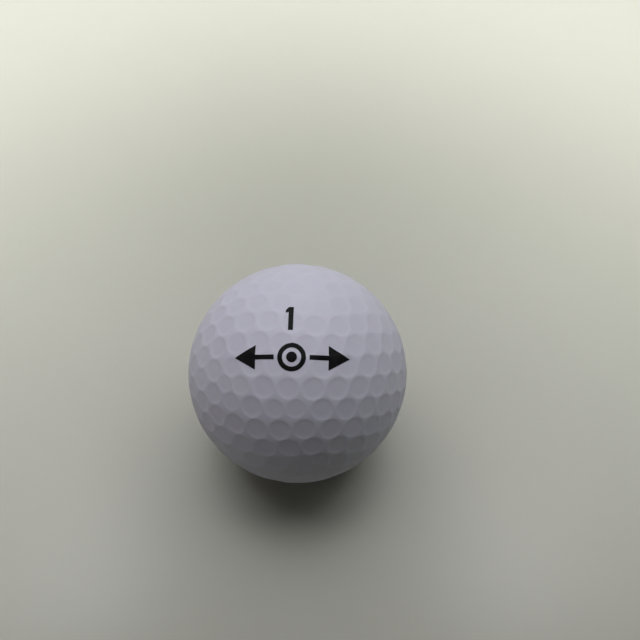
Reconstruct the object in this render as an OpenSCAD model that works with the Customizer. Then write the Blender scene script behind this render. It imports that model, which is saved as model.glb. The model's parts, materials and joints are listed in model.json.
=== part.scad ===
// Golf ball: dual core, mantle, dimpled cover in two moulded halves, printed marks.
// Millimetres, +Z up, origin at the centre of the ball, which lies with its print on top.

/* [Ball] */
// Diameter over the lands of the cover
ball_d = 42.7; // [42.7:0.1:52]
// Wall of the cover, from the lands to its smooth inside
cover_t = 1.3; // [0.9:0.05:1.8]
// Wall of the mantle under the cover
mantle_t = 1.1; // [0.8:0.05:1.6]
// Diameter of the inner core
inner_core_d = 25; // [18:0.5:32]

/* [Dimples] */
// Diameter of the widest dimples
wide_d = 3.8; // [3.4:0.05:4]
// Diameter of the dimples that have a little less room
middle_d = 3.55; // [3.3:0.05:3.9]
// Diameter of the dimples beside one that has five neighbours
narrow_d = 3.25; // [2.8:0.05:3.6]
// Diameter of the dimples that have five neighbours
small_d = 3; // [2.4:0.05:3.2]
// Radius of the spherical dish that every dimple is cut with
dish_r = 22; // [10:0.5:24]
// Least land between two dimples
land = 0.12; // [0.08:0.01:0.3]
// Land between the parting line and the dimples beside it
seam_land = 0.06; // [0.04:0.01:0.3]

/* [Pattern] */
// Angle between the corners of one hexagonal ring and the next
corner_pitch = 11.35; // [11:0.05:11.6]
// Angle between the rings near the parting line
ring_pitch = 10.85; // [10.6:0.05:11]
// Angle from the pole to the corners of the last ring that has corners
last_corner = 77; // [76:0.1:78]
// Angle by which a corner draws in the dimples beside it
corner_pull = 1.6; // [0:0.1:2]

/* [Print] */
// Thickness of the ink film on the cover
ink_t = 0.05; // [0.04:0.01:0.1]
// Length of the aiming mark from point to point
aim_l = 19.6; // [16:0.2:22]
// Diameter of the aiming mark's ring
aim_ring_d = 4.8; // [3:0.1:5.2]
// Stroke of the ring and of the arrow shafts
aim_stroke = 0.8; // [0.4:0.05:1]
// Diameter of the spot in the ring
spot_d = 1.8; // [0.8:0.1:2]
// Length of an arrowhead
head_l = 3.6; // [2:0.1:4]
// Width of an arrowhead
head_w = 4.2; // [2:0.1:4.6]
// Gap between the ring and an arrow's shaft
arrow_gap = 0.6; // [0.3:0.1:1]
// Height of the play number
number_h = 4.2; // [3:0.1:5]
// Stroke of the play number's stem
number_stroke = 0.85; // [0.6:0.05:1.4]
// Distance from the middle of the aiming mark up to the middle of the play number
number_y = 6.8; // [6.4:0.1:7.6]
// Distance from the middle of the aiming mark across to the middle of the stem
number_x = -0.35; // [-2:0.05:2]
// Reach of the play number's flag beyond its stem
flag_reach = 0.5; // [0.3:0.05:1]
// Fall of the flag from the stem to its tip
flag_fall = 0.6; // [0.2:0.05:1]
// Depth of the flag where it joins the stem
flag_root = 0.95; // [0.5:0.05:1.4]
// Depth of the flag at its tip
flag_tip = 0.5; // [0.3:0.05:0.9]

/* [Lie] */
// Direction of the pattern's pole round +Z, from +X
pole_azimuth = -35.7; // [-180:0.1:180]
// Height of the pattern's pole above the XY plane
pole_elevation = 36.4; // [0:0.1:90]
// Turn of the pattern about its own pole
pattern_turn = 49; // [-60:0.1:60]
// Lean of the aiming mark towards -Y
print_lean = 23.2; // [0:0.1:30]
// Lean of the aiming mark towards -X
print_side = 3.2; // [-20:0.1:20]
// Turn of the print about the middle of the aiming mark
print_turn = -2.4; // [-20:0.1:20]

/* [Hidden] */
$fn = 120;
ball_r = ball_d / 2;
cover_inner_r = ball_r - cover_t;
core_r = cover_inner_r - mantle_t;
// Rings of dimples round the pole of a half: six corners each, then three, then none
HEX_RINGS = 4;
LAST_CORNER_RING = 7;
SEAM_RING = 8;
// Dimples that the seam ring has in each third
SEAM_COUNT = 11;
// Room that a cutter has beyond the rim, and above the lands
cutter_side = 0.03;
cutter_top = 0.5;
// Angle round the middle of the aiming mark inside which dimples can meet the ink
print_reach = 38;
// Height of the print's flat outlines before they meet the cover
print_depth = ball_r / 2;

// Direction at an angle from the pole and an angle round it
function direction(colatitude, azimuth) =
    [sin(colatitude) * cos(azimuth), sin(colatitude) * sin(azimuth), cos(colatitude)];
function unit(v) = v / norm(v);
function angle_between(a, b) = acos(min(1, a * b));
// Angle at the centre of the ball across a chord
function chord_angle(chord) = 2 * asin(chord / ball_d);

// A dimple is [direction, true where it has only five neighbours].
seam_colatitude = 90 - chord_angle(wide_d) / 2 - seam_land / ball_r * 180 / PI;

// Hexagonal ring: straight sides between six corners
function hex_ring(k) = [
    for (side = [0:5], step = [0:k - 1])
        let (a = direction(k * corner_pitch, 60 * side),
             b = direction(k * corner_pitch, 60 * side + 60))
        [unit(a + (b - a) * step / k), k == HEX_RINGS && step == 0 && side % 2 == 0]];

// Rounder ring: three corners that stand out from it and draw their neighbours in
function ring_count(k) = min(k + HEX_RINGS, SEAM_COUNT);
function corner_colatitude(k) = k < LAST_CORNER_RING ? k * corner_pitch : last_corner;
function pull(k) = corner_pull * (k == LAST_CORNER_RING ? 2 : 1);
function drawn_in(k, x) = x - pull(k) * (1 - x / 60);
function ring_dimple(k, third, x) = x == 0
    ? [direction(corner_colatitude(k), 60 + 120 * third), k == LAST_CORNER_RING]
    : [direction(seam_colatitude - ring_pitch * (SEAM_RING - k), 60 + 120 * third
                 + (x <= 60 ? drawn_in(k, x) : 120 - drawn_in(k, 120 - x))), false];
function corner_ring(k) = [
    for (third = [0:2], step = [0:ring_count(k) - 1])
        ring_dimple(k, third, step * 120 / ring_count(k))];

// Seam ring: evenly spaced, half a step off the corners
function seam_ring() = [
    for (step = [0:3 * SEAM_COUNT - 1])
        [direction(seam_colatitude, 60 + (step + 0.5) * 120 / SEAM_COUNT), false]];

DIMPLES = concat(
    [[direction(0, 0), false]],
    [for (k = [1:HEX_RINGS]) each hex_ring(k)],
    [for (k = [HEX_RINGS + 1:LAST_CORNER_RING]) each corner_ring(k)],
    seam_ring());

// Chord that is free at a dimple before it would reach a neighbour's share
function room(i) = ball_d * sin(min([
    for (j = [0:len(DIMPLES) - 1]) if (j != i)
        let (apart = angle_between(DIMPLES[i][0], DIMPLES[j][0]))
        DIMPLES[j][1] ? apart - chord_angle(small_d) / 2 : apart / 2])) - land;
// Widest of the named diameters that the room takes
function fitting_d(free) = free >= wide_d ? wide_d
    : free >= middle_d ? middle_d
    : free >= narrow_d ? narrow_d : min(free, small_d);
DIAMETERS = [for (i = [0:len(DIMPLES) - 1]) DIMPLES[i][1] ? small_d : fitting_d(room(i))];

// Middle of the aiming mark, in the ball's lie and in the pattern's own axes
print_middle = [-cos(print_lean) * sin(print_side), -sin(print_lean),
                cos(print_lean) * cos(print_side)];
function turned_z(v, a) = [v.x * cos(a) - v.y * sin(a), v.x * sin(a) + v.y * cos(a), v.z];
function turned_y(v, a) = [v.x * cos(a) + v.z * sin(a), v.y, v.z * cos(a) - v.x * sin(a)];
print_on_pattern = turned_z(turned_y(turned_z(print_middle, -pole_azimuth),
                                     pole_elevation - 90), -pattern_turn);

// Turns the pattern's axes into the ball's lie
module lie() {
    rotate([0, 90 - pole_elevation, pole_azimuth]) rotate(pattern_turn) children();
}

// Turns flat marks, drawn as seen from above, to the middle of the aiming mark
module print_place() {
    rotate([print_lean, -print_side, 0]) rotate(print_turn) children();
}

// Lens that cuts one dimple at the pole; its sphere lies on its side, poles clear of the dish
module dimple_cutter(d, grow) {
    rim_r = d / 2;
    rim_z = sqrt(pow(ball_r, 2) - pow(rim_r, 2));
    dish_z = rim_z + sqrt(pow(dish_r, 2) - pow(rim_r, 2));
    intersection() {
        translate([0, 0, dish_z]) rotate([90, 0, 0]) sphere(dish_r - grow);
        translate([0, 0, dish_z - dish_r]) cylinder(h = dish_r - dish_z + ball_r + cutter_top,
                                                    r = rim_r + cutter_side);
    }
}

module dimple_cutters(chosen, grow) {
    for (i = chosen) {
        v = DIMPLES[i][0];
        rotate([0, acos(v.z), atan2(v.y, v.x)]) dimple_cutter(DIAMETERS[i], grow);
    }
}

// Cover half as moulded, pole up, parting line in the XY plane
module cover_half() {
    difference() {
        intersection() {
            sphere(ball_r);
            translate([-ball_d, -ball_d, 0]) cube([2 * ball_d, 2 * ball_d, ball_d]);
        }
        sphere(cover_inner_r);
        dimple_cutters([0:len(DIMPLES) - 1], 0);
    }
}

// Ball with the dimples that the print can meet, its surface raised by grow
module ball_under_print(grow) {
    near = [for (i = [0:len(DIMPLES) - 1])
        if (angle_between(DIMPLES[i][0], print_on_pattern) < print_reach) i];
    lie() difference() {
        sphere(ball_r + grow);
        dimple_cutters(near, grow);
    }
}

// Ink film of even thickness that follows the lands and dimples inside an outline
module ink_film() {
    color("black") difference() {
        intersection() {
            print_place() translate([0, 0, print_depth]) linear_extrude(ball_r) children();
            ball_under_print(ink_t);
        }
        ball_under_print(0);
    }
}

// Numeral one: an upright stem with a flag that falls away to its left
module number_outline() {
    translate([number_x - number_stroke / 2, number_y - number_h / 2]) {
        square([number_stroke, number_h]);
        polygon([[0, number_h], [-flag_reach, number_h - flag_fall],
                 [-flag_reach, number_h - flag_fall - flag_tip], [0, number_h - flag_root]]);
    }
}

// Arrow to the right: a shaft from beside the ring, and its head
module arrow_outline() {
    start = aim_ring_d / 2 + arrow_gap;
    neck = aim_l / 2 - head_l;
    translate([start, -aim_stroke / 2]) square([neck - start, aim_stroke]);
    polygon([[neck, -head_w / 2], [aim_l / 2, 0], [neck, head_w / 2]]);
}

module inner_core() {
    color("orange") sphere(inner_core_d / 2);
}

module outer_core() {
    color("teal") difference() {
        sphere(core_r);
        sphere(inner_core_d / 2);
    }
}

module mantle() {
    color("gold") difference() {
        sphere(cover_inner_r);
        sphere(core_r);
    }
}

module cover_upper() {
    color("white") lie() cover_half();
}

module cover_lower() {
    color("whitesmoke") lie() rotate([180, 0, 60]) cover_half();
}

module play_number() {
    ink_film() number_outline();
}

module aim_ring() {
    ink_film() difference() {
        circle(d = aim_ring_d);
        circle(d = aim_ring_d - 2 * aim_stroke);
    }
}

module aim_spot() {
    ink_film() circle(d = spot_d);
}

module aim_arrow_left() {
    ink_film() mirror([1, 0]) arrow_outline();
}

module aim_arrow_right() {
    ink_film() arrow_outline();
}

inner_core();
outer_core();
mantle();
cover_upper();
cover_lower();
play_number();
aim_ring();
aim_spot();
aim_arrow_left();
aim_arrow_right();
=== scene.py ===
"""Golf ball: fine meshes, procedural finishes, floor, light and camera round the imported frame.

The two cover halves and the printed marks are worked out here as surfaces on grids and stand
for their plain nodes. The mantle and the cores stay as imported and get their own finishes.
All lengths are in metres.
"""

from __future__ import annotations

import json
import logging
import math
from dataclasses import dataclass, field
from enum import Enum

import bpy
import numpy as np
from mathutils import Euler, Matrix, Vector


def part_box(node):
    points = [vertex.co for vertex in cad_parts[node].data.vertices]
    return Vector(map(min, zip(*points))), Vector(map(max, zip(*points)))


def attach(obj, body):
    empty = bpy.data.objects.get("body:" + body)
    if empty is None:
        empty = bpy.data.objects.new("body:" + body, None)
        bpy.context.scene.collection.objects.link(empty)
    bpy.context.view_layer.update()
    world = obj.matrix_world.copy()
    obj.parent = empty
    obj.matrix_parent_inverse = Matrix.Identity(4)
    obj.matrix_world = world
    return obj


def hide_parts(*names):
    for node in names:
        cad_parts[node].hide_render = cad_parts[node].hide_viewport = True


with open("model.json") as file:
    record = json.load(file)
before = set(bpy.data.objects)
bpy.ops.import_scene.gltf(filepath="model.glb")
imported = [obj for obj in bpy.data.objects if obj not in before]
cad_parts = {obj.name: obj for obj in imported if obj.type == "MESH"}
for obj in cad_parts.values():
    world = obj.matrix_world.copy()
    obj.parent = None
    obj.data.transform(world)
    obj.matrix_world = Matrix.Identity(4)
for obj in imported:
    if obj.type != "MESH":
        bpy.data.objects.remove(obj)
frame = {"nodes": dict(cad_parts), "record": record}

LOG = logging.getLogger("golf_ball")
MM = 0.001
BODY = "root"
SEAM_BAND = 1e-6

Array = np.ndarray


# ---------------------------------------------------------------- geometry helpers


def unit(vectors: Array) -> Array:
    """Vectors scaled to length one along their last axis."""
    return vectors / np.linalg.norm(vectors, axis=-1, keepdims=True)


def direction(colatitude: Array | float, azimuth: Array | float) -> Array:
    """Unit vector at an angle from the pole and an angle round it, both in degrees."""
    c, a = np.radians(colatitude), np.radians(azimuth)
    return np.stack(np.broadcast_arrays(np.sin(c) * np.cos(a), np.sin(c) * np.sin(a), np.cos(c)), -1)


def turn(x: float = 0.0, y: float = 0.0, z: float = 0.0) -> Array:
    """Rotation matrix that turns about X, then Y, then Z.

    Args:
        x: Angle about X in degrees.
        y: Angle about Y in degrees.
        z: Angle about Z in degrees.

    Returns:
        A 3 by 3 array.
    """
    return np.array(Euler(np.radians((x, y, z)), "XYZ").to_matrix())


def merged(points: Array, grain: float = 1e-7) -> tuple[Array, Array]:
    """Points that lie within a grain of each other made one.

    Args:
        points: Array of shape (n, k).
        grain: Size of the cells that points are gathered in.

    Returns:
        The distinct points, and for each point its place among them.
    """
    keys = np.round(points / grain).astype(np.int64)
    _, first, place = np.unique(keys, axis=0, return_index=True, return_inverse=True)
    return points[first], place.reshape(-1)


def grid_faces(rows: int, columns: int, closed: bool = False) -> Array:
    """Corner numbers of the quads of a grid whose points are counted row by row.

    Args:
        rows: Number of points down the grid.
        columns: Number of points across it.
        closed: True where the last column joins the first.

    Returns:
        Array of shape (quads, 4).
    """
    across = columns if closed else columns - 1
    r, c = np.meshgrid(np.arange(rows - 1), np.arange(across), indexing="ij")
    d = (c + 1) % columns
    quads = np.stack([r * columns + c, r * columns + d, (r + 1) * columns + d, (r + 1) * columns + c], -1)
    return quads.reshape(-1, 4)


def without_doubles(quads: Array) -> list[list[int]]:
    """Quads as lists of corners, where a quad with a doubled corner becomes a triangle.

    Args:
        quads: Array of shape (n, 4) of point numbers.

    Returns:
        Faces with three or four distinct corners; slivers with fewer are left out.
    """
    same = quads == np.roll(quads, -1, axis=1)
    whole = quads[~same.any(1)]
    pinched = quads[same.sum(1) == 1]
    keep = ~(pinched == np.roll(pinched, -1, axis=1))
    return whole.tolist() + pinched[keep].reshape(-1, 3).tolist()


def make_object(name: str, points: Array, faces: list[list[int]], crease: float) -> bpy.types.Object:
    """A smooth-shaded mesh object at the origin.

    Args:
        name: Name of the piece.
        points: Array of shape (n, 3), in metres.
        faces: Lists of point numbers, turned so that normals face outwards.
        crease: Angle in degrees past which an edge is drawn sharp.

    Returns:
        The new object, linked to the scene.
    """
    mesh = bpy.data.meshes.new(name)
    mesh.from_pydata(points.tolist(), [], faces)
    mesh.polygons.foreach_set("use_smooth", np.ones(len(mesh.polygons), dtype=bool))
    mesh.set_sharp_from_angle(angle=math.radians(crease))
    mesh.update()
    obj = bpy.data.objects.new(name, mesh)
    bpy.context.scene.collection.objects.link(obj)
    return obj


# ---------------------------------------------------------------- dimples


@dataclass
class DimplePattern:
    """Dimples of one moulded half: a pole, four hexagonal rings, three with corners, a seam ring.

    Angles are in degrees. The pole is +Z and the parting line is the XY plane.
    """

    ball_r: float
    wide_d: float = 3.8 * MM
    middle_d: float = 3.55 * MM
    narrow_d: float = 3.25 * MM
    small_d: float = 3.0 * MM
    bowl_depth: float = 0.125 * MM
    land: float = 0.12 * MM
    seam_land: float = 0.06 * MM
    corner_pitch: float = 11.35
    ring_pitch: float = 10.85
    last_corner: float = 77.0
    corner_pull: float = 1.6
    hex_rings: int = 4
    last_corner_ring: int = 7
    seam_ring: int = 8
    seam_count: int = 11
    softness: float = 0.018 * MM
    bowls_blended: int = 3
    neighbours: int = 10
    widest_circle: float = 20.0
    directions: Array = field(init=False)
    five_sided: Array = field(init=False)
    diameters: Array = field(init=False)

    def __post_init__(self) -> None:
        """Lays the dimples out and gives each its diameter."""
        rings = [(direction(0, 0)[None], np.array([False]))]
        rings += [self.hexagonal(k) for k in range(1, self.hex_rings + 1)]
        rings += [self.cornered(k) for k in range(self.hex_rings + 1, self.last_corner_ring + 1)]
        rings += [self.beside_seam()]
        self.directions = np.vstack([r[0] for r in rings])
        self.five_sided = np.concatenate([r[1] for r in rings])
        self.diameters = self.fitted_diameters()

    def chord_angle(self, chord: Array | float) -> Array:
        """Angle at the ball's centre across a chord, in degrees."""
        return 2 * np.degrees(np.arcsin(chord / (2 * self.ball_r)))

    def seam_colatitude(self) -> float:
        """Angle from the pole to the ring beside the parting line, in degrees."""
        return 90 - float(self.chord_angle(self.wide_d)) / 2 - math.degrees(self.seam_land / self.ball_r)

    def hexagonal(self, ring: int) -> tuple[Array, Array]:
        """Ring of six straight sides: each point is mixed from its side's two corners.

        Args:
            ring: Number of the ring, from the pole, which is also its dimples per side.

        Returns:
            Directions, and a flag for each dimple that has only five neighbours.
        """
        side, step = (a.ravel() for a in np.meshgrid(np.arange(6), np.arange(ring), indexing="ij"))
        start = direction(ring * self.corner_pitch, 60 * side)
        end = direction(ring * self.corner_pitch, 60 * side + 60)
        five = (ring == self.hex_rings) & (step == 0) & (side % 2 == 0)
        return unit(start + (end - start) * (step / ring)[:, None]), five

    def cornered(self, ring: int) -> tuple[Array, Array]:
        """Ring of even latitude from which three corners stand out.

        A dimple x degrees round from its corner is drawn in by pull times (1 - x / 60).

        Args:
            ring: Number of the ring, from the pole.

        Returns:
            Directions, and a flag for each dimple that has only five neighbours.
        """
        last = ring == self.last_corner_ring
        count = min(ring + self.hex_rings, self.seam_count)
        third, step = (a.ravel() for a in np.meshgrid(np.arange(3), np.arange(count), indexing="ij"))
        x = step * 120 / count
        near = np.minimum(x, 120 - x)
        drawn = near - self.corner_pull * (2 if last else 1) * (1 - near / 60)
        corner = step == 0
        azimuth = 60 + 120 * third + np.where(corner, 0, np.where(x <= 60, drawn, 120 - drawn))
        flat = self.seam_colatitude() - self.ring_pitch * (self.seam_ring - ring)
        out = self.last_corner if last else ring * self.corner_pitch
        return direction(np.where(corner, out, flat), azimuth), corner & last

    def beside_seam(self) -> tuple[Array, Array]:
        """Evenly spaced ring beside the parting line, with its flags."""
        count = 3 * self.seam_count
        azimuth = 60 + (np.arange(count) + 0.5) * 360 / count
        return direction(self.seam_colatitude(), azimuth), np.zeros(count, dtype=bool)

    def fitted_diameters(self) -> Array:
        """Widest of the named diameters that fits between a dimple's neighbours.

        A dimple may reach half-way to each neighbour, or up to the rim of one that has only
        five neighbours, less the land.

        Returns:
            Array with one diameter for each dimple.
        """
        apart = np.degrees(np.arccos(np.clip(self.directions @ self.directions.T, -1, 1)))
        share = np.where(self.five_sided, apart - self.chord_angle(self.small_d) / 2, apart / 2)
        np.fill_diagonal(share, 180)
        free = 2 * self.ball_r * np.sin(np.radians(share.min(1))) - self.land
        fitted = np.minimum(free, self.small_d)
        for size in (self.narrow_d, self.middle_d, self.wide_d):
            fitted = np.where(free >= size, size, fitted)
        return np.where(self.five_sided, self.small_d, fitted)

    def surface_radius(self, towards: Array) -> Array:
        """Distance from the centre to the dimpled surface.

        A dimple is a bowl with a broad flat floor and a steep rim. At a distance d from its
        axis it lies deep * (1 - (d / r)^4) below the lands, where r is the rim's radius. A
        narrower bowl is shallower by the square of its width. The surface is the soft minimum
        of the ball's own radius and the nearest bowls, which rounds every rim.

        Args:
            towards: Unit vectors, shape (n, 3), on the pole's side of the ball.

        Returns:
            Array of n radii in metres.
        """
        cosines = towards @ self.directions.T
        nearest = np.argpartition(-cosines, self.bowls_blended, axis=1)[:, :self.bowls_blended]
        cosine = np.take_along_axis(cosines, nearest, axis=1)
        rim = self.diameters[nearest] / 2
        share = np.minimum(self.ball_r * np.sqrt(np.maximum(1 - cosine**2, 0)) / rim, 3)
        deep = self.bowl_depth * (2 * rim / self.wide_d) ** 2
        bowl = self.ball_r - deep * (1 - share**4)
        levels = np.concatenate([np.full((len(towards), 1), self.ball_r), bowl], axis=1)
        lowest = levels.min(1)
        spread = np.exp((lowest[:, None] - levels) / self.softness).sum(1)
        return lowest - self.softness * np.log(spread)

    def cell_sides(self) -> tuple[Array, Array, Array]:
        """Sides of the cells that divide the half among its dimples.

        A cell's corner is the centre of a circle through three dimple centres with no other
        inside. The half is mirrored in the parting plane first, so cells end on that plane.

        Returns:
            For each side of each cell: the dimple's number, and the side's two corners in
            the order that runs anticlockwise seen from outside.
        """
        own = len(self.directions)
        every = np.vstack([self.directions, self.directions * (1, 1, -1)])
        around = np.argsort(-(every @ every.T), axis=1)[:, 1 : self.neighbours + 1]
        first, second = np.triu_indices(around.shape[1], 1)
        trios = np.stack([np.repeat(np.arange(len(every)), len(first)),
                          around[:, first].ravel(), around[:, second].ravel()], 1)
        trios = np.unique(np.sort(trios, axis=1), axis=0)
        a, b, c = (every[trios[:, k]] for k in range(3))
        middle = unit(np.cross(b - a, c - a))
        facing = (middle * a).sum(1)
        small = np.abs(facing) > math.cos(math.radians(self.widest_circle))
        trios, middle, facing = trios[small], middle[small], facing[small]
        middle *= np.sign(facing)[:, None]
        empty = (middle @ every.T).max(1) <= np.abs(facing) + 1e-9
        corners, place = merged(middle[empty])
        trios = trios[empty]
        links = np.vstack([np.column_stack([trios[:, p], trios[:, q], place])
                           for p, q in ((0, 1), (1, 2), (0, 2))])
        links = np.unique(links, axis=0)
        pairs, start, count = np.unique(links[:, :2], axis=0, return_index=True, return_counts=True)
        pairs, start = pairs[count == 2], start[count == 2]
        ends = np.stack([links[start, 2], links[start + 1, 2]], 1)
        owner = np.concatenate([pairs[:, 0], pairs[:, 1]])
        ends = np.vstack([ends, ends])[owner < own]
        owner = owner[owner < own]
        left, right = corners[ends[:, 0]], corners[ends[:, 1]]
        wrong = (np.cross(left, right) * self.directions[owner]).sum(1) < 0
        left[wrong], right[wrong] = right[wrong].copy(), left[wrong].copy()
        return owner, left, right


class Side(Enum):
    """Which moulded half of the cover."""

    UPPER = "cover_upper"
    LOWER = "cover_lower"


@dataclass
class CoverHalf:
    """One half shell of the cover, from its dimpled outside to its smooth inside."""

    pattern: DimplePattern
    inner_r: float
    lie: Array
    side: Side
    columns: int = 8
    inner_rows: int = 20
    dish_rings: tuple[float, ...] = (0.0, 0.35, 0.58, 0.73)
    rim_inside: tuple[float, ...] = (0.32 * MM, 0.16 * MM, 0.05 * MM)
    rim_outside: tuple[float, ...] = (0.05 * MM, 0.16 * MM)

    def outside_directions(self) -> tuple[Array, list[list[int]]]:
        """Directions of the outer surface's points, and its faces.

        Each side of a cell spans a wedge from the dimple's centre. The wedge is a grid: one
        parameter runs along the side and the other out from the centre, by rings close
        together at the rim, to the side itself, which two wedges share.

        Returns:
            Unit vectors of shape (n, 3), and faces as lists of point numbers.
        """
        owner, left, right = self.pattern.cell_sides()
        along = np.linspace(0, 1, self.columns + 1)[None, :, None]
        edge = unit(left[:, None] * (1 - along) + right[:, None] * along)
        centre = np.broadcast_to(self.pattern.directions[owner][:, None], edge.shape)
        cosine = (edge * centre).sum(-1)
        reach = np.arccos(np.clip(cosine, -1, 1))
        out = unit(edge - cosine[..., None] * centre)
        rim = np.arcsin(self.pattern.diameters[owner] / 2 / self.pattern.ball_r)[:, None]
        room = reach - rim
        steps = [rim * s + 0 * reach for s in self.dish_rings]
        steps += [rim - w / self.pattern.ball_r + 0 * reach for w in self.rim_inside]
        shares = np.arange(1, len(self.rim_outside) + 1) / (len(self.rim_outside) + 1)
        steps += [rim + np.minimum(w / self.pattern.ball_r, room * s)
                  for w, s in zip(self.rim_outside, shares)]
        angle = np.stack(steps, 1)[..., None]
        rings = np.cos(angle) * centre[:, None] + np.sin(angle) * out[:, None]
        wedges = np.concatenate([rings, edge[:, None]], axis=1)
        count, rows, columns = wedges.shape[:3]
        quads = grid_faces(rows, columns)[None] + (np.arange(count) * rows * columns)[:, None, None]
        points, place = merged(wedges.reshape(-1, 3))
        faces = without_doubles(place[quads.reshape(-1, 4)][:, ::-1])
        return points, faces

    def shell(self) -> tuple[Array, list[list[int]]]:
        """The half as moulded, pole up: dimpled outside, seam face and smooth inside.

        The inside is a hemisphere whose rows run from the seam to the pole and whose columns
        start at the seam points of the outside, so the seam face is one ring of quads.

        Returns:
            Points in metres and faces.
        """
        towards, faces = self.outside_directions()
        outside = towards * self.pattern.surface_radius(towards)[:, None]
        on_seam = np.flatnonzero(np.abs(towards[:, 2]) < SEAM_BAND)
        on_seam = on_seam[np.argsort(np.arctan2(towards[on_seam, 1], towards[on_seam, 0]))]
        outside[on_seam, 2] = 0
        azimuth = np.degrees(np.arctan2(towards[on_seam, 1], towards[on_seam, 0]))
        rise = np.linspace(90, 0, self.inner_rows + 1)[:-1]
        inside = direction(rise[:, None], azimuth[None, :]).reshape(-1, 3) * self.inner_r
        top = np.array([[0, 0, self.inner_r]])
        start, across = len(outside), len(on_seam)
        wall = grid_faces(self.inner_rows, across, closed=True) + start
        beside = np.roll(on_seam, -1)
        ring = np.arange(across) + start
        seam = np.stack([on_seam, ring, np.roll(ring, -1), beside], 1)
        last = ring + (self.inner_rows - 1) * across
        apex = np.full(across, start + self.inner_rows * across)
        cap = np.stack([last, apex, np.roll(last, -1)], 1)
        faces = faces + wall[:, ::-1].tolist() + seam.tolist() + cap.tolist()
        return np.vstack([outside, inside, top]), faces

    def build(self) -> bpy.types.Object:
        """The half as a mesh object, turned over if it is the lower one, in the ball's lie."""
        points, faces = self.shell()
        over = turn(x=180, z=60) if self.side is Side.LOWER else np.eye(3)
        return make_object(f"{self.side.value}_shell", points @ (self.lie @ over).T, faces, crease=35)


# ---------------------------------------------------------------- printed marks


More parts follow.
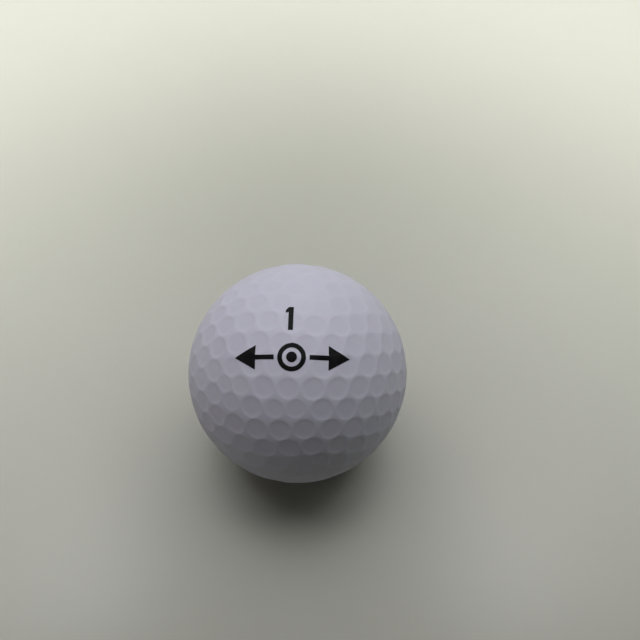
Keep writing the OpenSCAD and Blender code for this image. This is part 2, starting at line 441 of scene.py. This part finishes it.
@dataclass
class PrintedMarks:
    """Ink films that follow the lands and dimples inside flat outlines.

    Outlines are drawn as seen from above the middle of the aiming mark, x to the right and
    y up.
    """

    pattern: DimplePattern
    lie: Array
    place: Array
    ink_t: float = 0.03 * MM
    grain: float = 0.12 * MM
    aim_l: float = 19.6 * MM
    aim_ring_d: float = 4.8 * MM
    aim_stroke: float = 0.8 * MM
    spot_d: float = 1.8 * MM
    head_l: float = 3.6 * MM
    head_w: float = 4.2 * MM
    arrow_gap: float = 0.6 * MM
    number_h: float = 4.2 * MM
    number_stroke: float = 0.85 * MM
    number_y: float = 6.8 * MM
    number_x: float = -0.35 * MM
    flag_reach: float = 0.5 * MM
    flag_fall: float = 0.6 * MM
    flag_root: float = 0.95 * MM
    flag_tip: float = 0.5 * MM

    def spaced(self, start: float, end: float) -> Array:
        """Numbers from start to end about one grain apart."""
        return np.linspace(start, end, max(2, round(abs(end - start) / self.grain) + 1))

    def patch(self, x: Array, y: Array) -> tuple[Array, Array]:
        """A grid of flat points, whose rows run along x, and its quads.

        Args:
            x: Array of shape (rows, columns).
            y: Array of the same shape.

        Returns:
            Points of shape (n, 2), and quads that face down.
        """
        x, y = np.broadcast_arrays(x, y)
        return np.stack([x, y], -1).reshape(-1, 2), grid_faces(*x.shape)

    def number(self) -> list[tuple[Array, Array]]:
        """Stem and flag of the play number, which share the flag's rows along the stem."""
        left, right = self.number_x - self.number_stroke / 2, self.number_x + self.number_stroke / 2
        low, top = self.number_y - self.number_h / 2, self.number_y + self.number_h / 2
        notch = top - self.flag_root
        joint = self.spaced(notch, top)
        rows = np.concatenate([self.spaced(low, notch), joint[1:]])
        stem = self.patch(self.spaced(left, right)[:, None], rows[None, :])
        x = self.spaced(left - self.flag_reach, left)[:, None]
        share = (left - x) / self.flag_reach
        depth = self.flag_root + (self.flag_tip - self.flag_root) * share
        y = top - self.flag_fall * share - depth * (top - joint[None, :]) / self.flag_root
        return [stem, self.patch(x, y)]

    def arrow(self, hand: int) -> list[tuple[Array, Array]]:
        """Shaft and head of one arrow, which share the shaft's rows along the neck.

        Args:
            hand: 1 for the arrow that points right, -1 for the left one.

        Returns:
            The two patches.
        """
        start = self.aim_ring_d / 2 + self.arrow_gap
        neck = self.aim_l / 2 - self.head_l
        half, wide = self.aim_stroke / 2, self.head_w / 2
        middle = self.spaced(-half, half)
        across = np.concatenate([self.spaced(-wide, -half)[:-1], middle, self.spaced(half, wide)[1:]])
        shaft_x, head_x = self.spaced(start, neck), self.spaced(neck, self.aim_l / 2)
        taper = (self.aim_l / 2 - head_x) / self.head_l
        patches = [self.patch(shaft_x[:, None], middle[None, :]),
                   self.patch(head_x[:, None], taper[:, None] * across[None, :])]
        if hand > 0:
            return patches
        return [(flat * (-1, 1), quads[:, ::-1]) for flat, quads in patches]

    def disc(self, inner: float, outer: float) -> list[tuple[Array, Array]]:
        """Ring or round spot in the middle of the aiming mark: radius by angle.

        Args:
            inner: Inner radius, 0 for a spot.
            outer: Outer radius.

        Returns:
            One patch, which closes on itself.
        """
        turns = np.linspace(0, 2 * np.pi, round(2 * np.pi * outer / self.grain) + 1)[None, :]
        radii = self.spaced(inner, outer)[:, None]
        return [self.patch(radii * np.cos(turns), radii * np.sin(turns))]

    def film(self, name: str, patches: list[tuple[Array, Array]]) -> bpy.types.Object:
        """Joins patches into one sheet, lays it on the ball and gives it its thickness.

        A flat point is carried down along the print's axis to the ball, and from there in or
        out along its radius to the dimpled surface. The sheet is copied up by the thickness
        of the ink, and a wall joins the two wherever an edge has only one face.

        Args:
            name: Name of the piece.
            patches: Flat points and quads of each patch.

        Returns:
            The film as an object.
        """
        starts = np.cumsum([0] + [len(flat) for flat, _ in patches])
        flat, place = merged(np.vstack([p for p, _ in patches]) / MM, 1e-5)
        flat = flat * MM
        faces = without_doubles(place[np.vstack([q + s for (_, q), s in zip(patches, starts)])])
        rise = np.sqrt(self.pattern.ball_r**2 - (flat**2).sum(1))
        towards = unit(np.column_stack([flat, rise]) @ (self.lie.T @ self.place).T)
        low = towards * self.pattern.surface_radius(towards)[:, None]
        high = low + towards * self.ink_t
        edges = np.vstack([np.column_stack([f, np.roll(f, -1)]) for f in map(np.array, faces)])
        _, which, used = np.unique(np.sort(edges, axis=1), axis=0, return_index=True, return_counts=True)
        open_edges = edges[which[used == 1]]
        count = len(flat)
        wall = np.stack([open_edges[:, 1], open_edges[:, 0],
                         open_edges[:, 0] + count, open_edges[:, 1] + count], 1)
        over = [[corner + count for corner in face[::-1]] for face in faces]
        points = np.vstack([low, high]) @ self.lie.T
        return make_object(name, points, faces + over + wall.tolist(), crease=40)

    def build(self) -> dict[str, bpy.types.Object]:
        """All the films, by the node that each stands for."""
        ring_r = self.aim_ring_d / 2
        outlines = {
            "play_number": self.number(),
            "aim_ring": self.disc(ring_r - self.aim_stroke, ring_r),
            "aim_spot": self.disc(0, self.spot_d / 2),
            "aim_arrow_left": self.arrow(-1),
            "aim_arrow_right": self.arrow(1),
        }
        return {node: self.film(f"{node}_ink", patches) for node, patches in outlines.items()}


# ---------------------------------------------------------------- finishes


def add_node(tree: bpy.types.NodeTree, kind: str, **values: object) -> bpy.types.Node:
    """A shader node with its properties and unlinked inputs set.

    Args:
        tree: The tree that the node joins.
        kind: Node type, such as ShaderNodeMix.
        values: Properties by name, or inputs by name with spaces as underscores.

    Returns:
        The node.
    """
    node = tree.nodes.new(kind)
    for key, value in values.items():
        if hasattr(node, key):
            setattr(node, key, value)
        else:
            node.inputs[key.replace("_", " ")].default_value = value
    return node


def grain_group() -> bpy.types.NodeTree:
    """Shader group: fine grain and broad clouding on Object coordinates, both about 0.5."""
    tree = bpy.data.node_groups.new("Grain", "ShaderNodeTree")
    for name, start in (("Fine Scale", 1500.0), ("Broad Scale", 60.0)):
        tree.interface.new_socket(name, in_out="INPUT", socket_type="NodeSocketFloat").default_value = start
    tree.interface.new_socket("Vector", in_out="INPUT", socket_type="NodeSocketVector")
    for name in ("Fine", "Broad"):
        tree.interface.new_socket(name, in_out="OUTPUT", socket_type="NodeSocketFloat")
    start, end = tree.nodes.new("NodeGroupInput"), tree.nodes.new("NodeGroupOutput")
    for name, detail in (("Fine", 3.0), ("Broad", 4.0)):
        noise = add_node(tree, "ShaderNodeTexNoise", Detail=detail, Roughness=0.55)
        tree.links.new(start.outputs["Vector"], noise.inputs["Vector"])
        tree.links.new(start.outputs[f"{name} Scale"], noise.inputs["Scale"])
        tree.links.new(noise.outputs["Fac"], end.inputs[name])
    return tree


def depth_group() -> bpy.types.NodeTree:
    """Shader group: 0 at the lands and 1 at a depth below them, from distance to the centre; the mask of the
    painted shade on dish floors.
    """
    tree = bpy.data.node_groups.new("Depth below lands", "ShaderNodeTree")
    for name, start in (("Land Radius", 0.02135), ("Full Depth", 0.0002)):
        tree.interface.new_socket(name, in_out="INPUT", socket_type="NodeSocketFloat").default_value = start
    tree.interface.new_socket("Vector", in_out="INPUT", socket_type="NodeSocketVector")
    tree.interface.new_socket("Depth", in_out="OUTPUT", socket_type="NodeSocketFloat")
    start, end = tree.nodes.new("NodeGroupInput"), tree.nodes.new("NodeGroupOutput")
    length = add_node(tree, "ShaderNodeVectorMath", operation="LENGTH")
    below = add_node(tree, "ShaderNodeMath", operation="SUBTRACT")
    share = add_node(tree, "ShaderNodeMath", operation="DIVIDE", use_clamp=True)
    tree.links.new(start.outputs["Vector"], length.inputs[0])
    tree.links.new(start.outputs["Land Radius"], below.inputs[0])
    tree.links.new(length.outputs["Value"], below.inputs[1])
    tree.links.new(below.outputs["Value"], share.inputs[0])
    tree.links.new(start.outputs["Full Depth"], share.inputs[1])
    tree.links.new(share.outputs["Value"], end.inputs["Depth"])
    return tree


@dataclass(frozen=True)
class Finish:
    """A procedural finish: two tones that broad clouds and painted shade on the dish floors mix, and fine
    grain.

    Attributes:
        name: Name of the material.
        light: Colour of the lands and of bright clouds.
        dark: Colour of the painted shade on the dish floors and of dark clouds.
        clouding: How far clouds move the mix between the two tones.
        painted_dish_shade: How far painted shade darkens the floor of a dish, by moving the mix toward dark.
        roughness: Lowest and highest roughness, which the fine grain mixes.
        grain_scale: Fine grain per metre.
        grain_height: Height of the fine grain, in metres.
        coat: Weight of the clear coat.
        coat_roughness: Roughness of the clear coat.
        specular: Specular level.
        subsurface: Weight of light scattered under the surface.
        scatter: How far that light travels, in metres.
    """

    name: str
    light: tuple[float, float, float]
    dark: tuple[float, float, float]
    clouding: float
    painted_dish_shade: float
    roughness: tuple[float, float]
    grain_scale: float
    grain_height: float
    coat: float = 0.0
    coat_roughness: float = 0.1
    specular: float = 0.5
    subsurface: float = 0.0
    scatter: float = 0.5 * MM

    def material(self, groups: dict[str, bpy.types.NodeTree], land_r: float) -> bpy.types.Material:
        """Builds the material.

        Args:
            groups: The shared shader groups, by name.
            land_r: Radius of the surface that depth is counted from, in metres.

        Returns:
            The material.
        """
        made = bpy.data.materials.new(self.name)
        made.use_nodes = True
        tree = made.node_tree
        shader = tree.nodes["Principled BSDF"]
        place = add_node(tree, "ShaderNodeTexCoord")
        grain = add_node(tree, "ShaderNodeGroup", node_tree=groups["grain"])
        grain.inputs["Fine Scale"].default_value = self.grain_scale
        depth = add_node(tree, "ShaderNodeGroup", node_tree=groups["depth"])
        depth.inputs["Land Radius"].default_value = land_r
        for group in (grain, depth):
            tree.links.new(place.outputs["Object"], group.inputs["Vector"])
        cloud = add_node(tree, "ShaderNodeMath", operation="MULTIPLY")
        cloud.inputs[1].default_value = self.clouding
        # Painted shade: with depth below the lands the mix moves toward the dark tone, so dish floors are
        # painted darker.
        mix = add_node(tree, "ShaderNodeMath", operation="MULTIPLY_ADD", use_clamp=True)
        mix.inputs[1].default_value = self.painted_dish_shade
        tree.links.new(grain.outputs["Broad"], cloud.inputs[0])
        tree.links.new(depth.outputs["Depth"], mix.inputs[0])
        tree.links.new(cloud.outputs["Value"], mix.inputs[2])
        tone = add_node(tree, "ShaderNodeMix", data_type="RGBA")
        colour_a, colour_b = (s for s in tone.inputs if s.type == "RGBA")
        colour_a.default_value, colour_b.default_value = (*self.light, 1), (*self.dark, 1)
        tree.links.new(mix.outputs["Value"], tone.inputs["Factor"])
        result = next(s for s in tone.outputs if s.type == "RGBA")
        tree.links.new(result, shader.inputs["Base Color"])
        rough = add_node(tree, "ShaderNodeMapRange")
        rough.inputs["To Min"].default_value, rough.inputs["To Max"].default_value = self.roughness
        tree.links.new(grain.outputs["Fine"], rough.inputs["Value"])
        tree.links.new(rough.outputs["Result"], shader.inputs["Roughness"])
        bump = add_node(tree, "ShaderNodeBump", Distance=self.grain_height)
        tree.links.new(grain.outputs["Fine"], bump.inputs["Height"])
        tree.links.new(bump.outputs["Normal"], shader.inputs["Normal"])
        shader.inputs["Coat Weight"].default_value = self.coat
        shader.inputs["Coat Roughness"].default_value = self.coat_roughness
        shader.inputs["Specular IOR Level"].default_value = self.specular
        shader.inputs["Subsurface Weight"].default_value = self.subsurface
        shader.inputs["Subsurface Scale"].default_value = self.scatter
        return made


COVER = Finish(
    name="satin white paint",
    light=(0.74, 0.735, 0.86),
    dark=(0.66, 0.655, 0.775),
    clouding=0.5,
    # Painted shade: the cover's dish floors are painted darker with depth.
    painted_dish_shade=0.35,
    roughness=(0.55, 0.65),
    grain_scale=2600.0,
    grain_height=0.006 * MM,
    specular=0.25,
    subsurface=0.05,
)
INK = Finish(
    name="black pad ink",
    light=(0.004, 0.004, 0.005),
    dark=(0.002, 0.002, 0.0025),
    clouding=0.8,
    # Painted shade: ink in the dish floors is painted a little darker with depth.
    painted_dish_shade=0.2,
    roughness=(0.55, 0.7),
    grain_scale=4000.0,
    grain_height=0.003 * MM,
    specular=0.2,
)
MANTLE = Finish(
    name="ionomer mantle",
    light=(0.90, 0.84, 0.62),
    dark=(0.80, 0.70, 0.45),
    clouding=0.9,
    painted_dish_shade=0.0,
    roughness=(0.3, 0.5),
    grain_scale=900.0,
    grain_height=0.01 * MM,
    subsurface=0.15,
)
OUTER_CORE = Finish(
    name="ground core rubber",
    light=(0.10, 0.42, 0.42),
    dark=(0.06, 0.30, 0.31),
    clouding=0.9,
    painted_dish_shade=0.0,
    roughness=(0.55, 0.8),
    grain_scale=1800.0,
    grain_height=0.03 * MM,
)
INNER_CORE = Finish(
    name="moulded core rubber",
    light=(0.85, 0.38, 0.08),
    dark=(0.70, 0.27, 0.05),
    clouding=0.9,
    painted_dish_shade=0.0,
    roughness=(0.5, 0.75),
    grain_scale=1400.0,
    grain_height=0.02 * MM,
)
FLOOR = Finish(
    name="pale floor",
    light=(0.42, 0.425, 0.37),
    dark=(0.40, 0.405, 0.352),
    clouding=0.8,
    painted_dish_shade=0.0,
    roughness=(0.3, 0.36),
    grain_scale=300.0,
    grain_height=0.002 * MM,
)


# ---------------------------------------------------------------- studio


@dataclass(frozen=True)
class Lamp:
    """A panel of light that faces straight down.

    Attributes:
        name: Name of the lamp.
        middle: Its middle, in metres.
        size: Its sides along X and Y, in metres.
        power: Power in watts.
        tint: Colour.
        spread: Angle of the beam in degrees, 180 for an open panel.
    """

    name: str
    middle: tuple[float, float, float]
    size: tuple[float, float]
    power: float
    tint: tuple[float, float, float]
    spread: float = 180.0

    def hang(self) -> None:
        """Adds the lamp to the scene; it lights the scene without being seen itself."""
        data = bpy.data.lights.new(self.name, "AREA")
        data.shape = "RECTANGLE"
        data.size, data.size_y = self.size
        data.energy, data.color = self.power, self.tint
        data.spread = math.radians(self.spread)
        obj = bpy.data.objects.new(self.name, data)
        obj.location = self.middle
        obj.visible_camera = False
        bpy.context.scene.collection.objects.link(obj)


LAMPS = (
    Lamp("overhead panel", (0, 0.25, 0.5), (0.8, 0.5), 2.75, (1.0, 0.99, 1.0)),
    Lamp("left panel", (-1.2, -0.145, 0.5), (1.6, 0.29), 0.95, (1.0, 0.92, 0.90)),
    Lamp("right panel", (1.2, 0.25, 0.5), (1.6, 0.5), 0.7, (0.82, 1.0, 0.86)),
    Lamp("backdrop strip", (0, 0.2, 0.34), (0.5, 0.12), 0.42, (1.0, 1.0, 0.98), spread=50),
    Lamp("left floor lamp", (-0.14, 0.06, 0.3), (0.06, 0.12), 0.07, (1.0, 1.0, 0.98), spread=50),
    Lamp("right floor lamp", (0.14, 0.06, 0.3), (0.06, 0.12), 0.06, (1.0, 1.0, 0.98), spread=50),
)


@dataclass
class Studio:
    """Floor, lights and camera round a ball of radius ball_r that stands on the floor.

    Angles are in degrees. The camera stands on the -Y side and looks down at the ball.
    """

    ball_r: float
    floor_r: float = 3.0
    floor_rings: int = 25
    floor_spokes: int = 97
    camera_elevation: float = 60.0
    camera_distance: float = 6.05
    lens: float = 36.47
    look_up: float = 4.59
    look_right: float = 1.93
    surround: tuple[float, float, float] = (0.90, 0.92, 0.88)
    surround_strength: float = 0.006

    def floor(self, finish: bpy.types.Material) -> None:
        """Round floor under the ball: a disc of rings that widen outwards."""
        radii = self.floor_r * np.linspace(0, 1, self.floor_rings)[:, None] ** 2
        turns = np.linspace(0, 2 * np.pi, self.floor_spokes)[None, :]
        flat = np.stack([radii * np.cos(turns), radii * np.sin(turns), 0 * radii * turns], -1)
        points, place = merged(flat.reshape(-1, 3), 1e-6)
        points[:, 2] = -self.ball_r
        quads = place[grid_faces(self.floor_rings, self.floor_spokes)]
        floor = make_object("floor", points, without_doubles(quads), crease=30)
        floor.data.materials.append(finish)

    def lights(self) -> None:
        """The lamps and a faint even surround, with colours shown without a film curve."""
        for lamp in LAMPS:
            lamp.hang()
        world = bpy.data.worlds.new("surround")
        world.use_nodes = True
        background = world.node_tree.nodes["Background"]
        background.inputs["Color"].default_value = (*self.surround, 1)
        background.inputs["Strength"].default_value = self.surround_strength
        bpy.context.scene.world = world
        bpy.context.scene.view_settings.view_transform = "Standard"

    def camera(self) -> None:
        """Camera that looks past the ball, so that the ball stands low and left in the frame."""
        e = math.radians(self.camera_elevation)
        back = Vector((0, -math.cos(e), math.sin(e)))
        up = Vector((0, math.sin(e), math.cos(e)))
        facing = Matrix((Vector((1, 0, 0)), up, back)).transposed().to_4x4()
        aim = Matrix.Rotation(math.radians(-self.look_right), 4, "Y")
        aim = aim @ Matrix.Rotation(math.radians(self.look_up), 4, "X")
        data = bpy.data.cameras.new("camera")
        data.lens, data.clip_start, data.clip_end = self.lens, 0.001, 20
        obj = bpy.data.objects.new("camera", data)
        obj.matrix_world = Matrix.Translation(back * self.camera_distance * self.ball_r) @ facing @ aim
        bpy.context.scene.collection.objects.link(obj)
        bpy.context.scene.camera = obj


# ---------------------------------------------------------------- assembly


@dataclass
class GolfBall:
    """The whole ball: pieces made here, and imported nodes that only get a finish."""

    pole_azimuth: float = -35.7
    pole_elevation: float = 36.4
    pattern_turn: float = 49.0
    print_lean: float = 23.2
    print_side: float = 3.2
    print_turn: float = -2.4

    def dress(self, piece: bpy.types.Object, node: str, finish: bpy.types.Material) -> None:
        """Gives a new piece its finish and its body, and hides the node that it stands for."""
        piece.data.materials.append(finish)
        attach(piece, BODY)
        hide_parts(node)
        LOG.info("%s: %d faces, %s, in place of %s", piece.name, len(piece.data.polygons), finish.name, node)

    def refinish(self, node: str, finish: bpy.types.Material) -> None:
        """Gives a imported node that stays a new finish."""
        piece = frame["nodes"][node]
        piece.data.materials.clear()
        piece.data.materials.append(finish)
        LOG.info("%s: packed node with %s", node, finish.name)

    def build(self) -> float:
        """Builds and dresses every piece.

        Returns:
            The ball's radius in metres.
        """
        ball_r = frame["record"]["mounts"][0]["dims"]["r_mm"] * MM
        inner_r = float(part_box("mantle")[1].z)
        core_r = float(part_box("outer_core")[1].z)
        kernel_r = float(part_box("inner_core")[1].z)
        groups = {"grain": grain_group(), "depth": depth_group()}
        lie = turn(y=90 - self.pole_elevation, z=self.pole_azimuth) @ turn(z=self.pattern_turn)
        place = turn(x=self.print_lean, y=-self.print_side) @ turn(z=self.print_turn)
        pattern = DimplePattern(ball_r)
        paint = COVER.material(groups, ball_r)
        for side in Side:
            self.dress(CoverHalf(pattern, inner_r, lie, side).build(), side.value, paint)
        ink = INK.material(groups, ball_r)
        for node, piece in PrintedMarks(pattern, lie, place).build().items():
            self.dress(piece, node, ink)
        self.refinish("mantle", MANTLE.material(groups, inner_r))
        self.refinish("outer_core", OUTER_CORE.material(groups, core_r))
        self.refinish("inner_core", INNER_CORE.material(groups, kernel_r))
        studio = Studio(ball_r)
        studio.floor(FLOOR.material(groups, ball_r))
        studio.lights()
        studio.camera()
        return ball_r


def main() -> None:
    """Builds the ball."""
    logging.basicConfig(level=logging.INFO, format="%(name)s: %(message)s")
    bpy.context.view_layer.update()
    radius = GolfBall().build()
    LOG.info("ball of %.2f mm", 2 * radius / MM)


if __name__ == "__main__":
    main()
